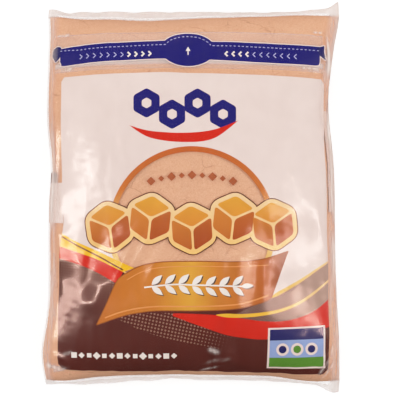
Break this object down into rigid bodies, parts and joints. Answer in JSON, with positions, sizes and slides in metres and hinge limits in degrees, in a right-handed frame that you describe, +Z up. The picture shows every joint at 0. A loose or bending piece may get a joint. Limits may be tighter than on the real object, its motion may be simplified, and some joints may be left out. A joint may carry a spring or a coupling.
{
  "type": "pouch of sugar",
  "caption": "Clear pillow pouch filled with light brown sugar, sealed at both ends, with a printed front and a zip tape across it, lying on its back.",
  "frame": {"origin": "on the table, under the middle of the pouch's bounding box", "axes": "+X across the pouch to the right of its print, +Y from its foot to its head, +Z up from the table"},
  "size_m": [0.2508, 0.3306, 0.0638],
  "materials": {
    "film": "thin clear film, glossy and slightly hazy, with soft wrinkles",
    "sugar": "moist light brown sugar, fine grained and matt",
    "print": "opaque ink printed on the film, with fields of white, yellow, red and brown",
    "zip_tape": "blue printed plastic tape with a white dashed line"
  },
  "bodies": {
    "root": {"pouch": "film", "zip_tape": "zip_tape"}
  },
  "joints": []
}
